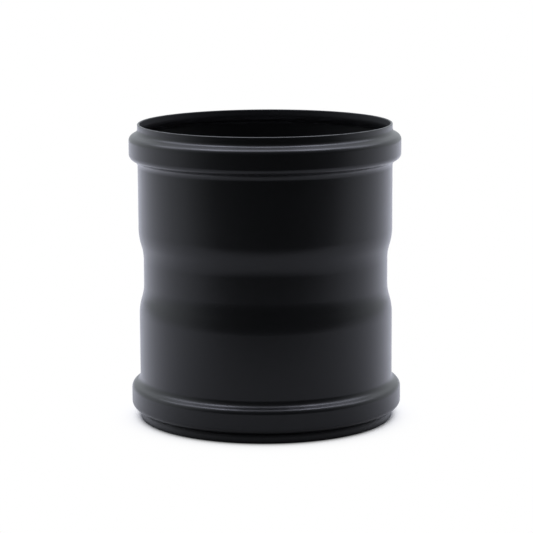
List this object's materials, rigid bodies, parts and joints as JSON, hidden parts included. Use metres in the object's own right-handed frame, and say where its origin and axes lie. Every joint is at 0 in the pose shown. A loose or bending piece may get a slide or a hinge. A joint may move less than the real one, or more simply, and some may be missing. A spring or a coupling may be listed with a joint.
{
  "type": "duct connector",
  "caption": "Straight socket-to-socket connector for round flue pipe: a thin black steel tube with a seal bead near each mouth and a shallow waist that stops the pipes.",
  "frame": {"origin": "centre of the lower mouth, on the surface that the connector stands on", "axes": "+Z along the tube's axis, up and out of the upper mouth; the tube is round, so X and Y are free"},
  "size_m": [0.088, 0.088, 0.096],
  "materials": {
    "black_paint": "satin black heat-proof paint on sheet steel, inside and out"
  },
  "bodies": {
    "root": {"connector_body": "black_paint"}
  },
  "joints": []
}
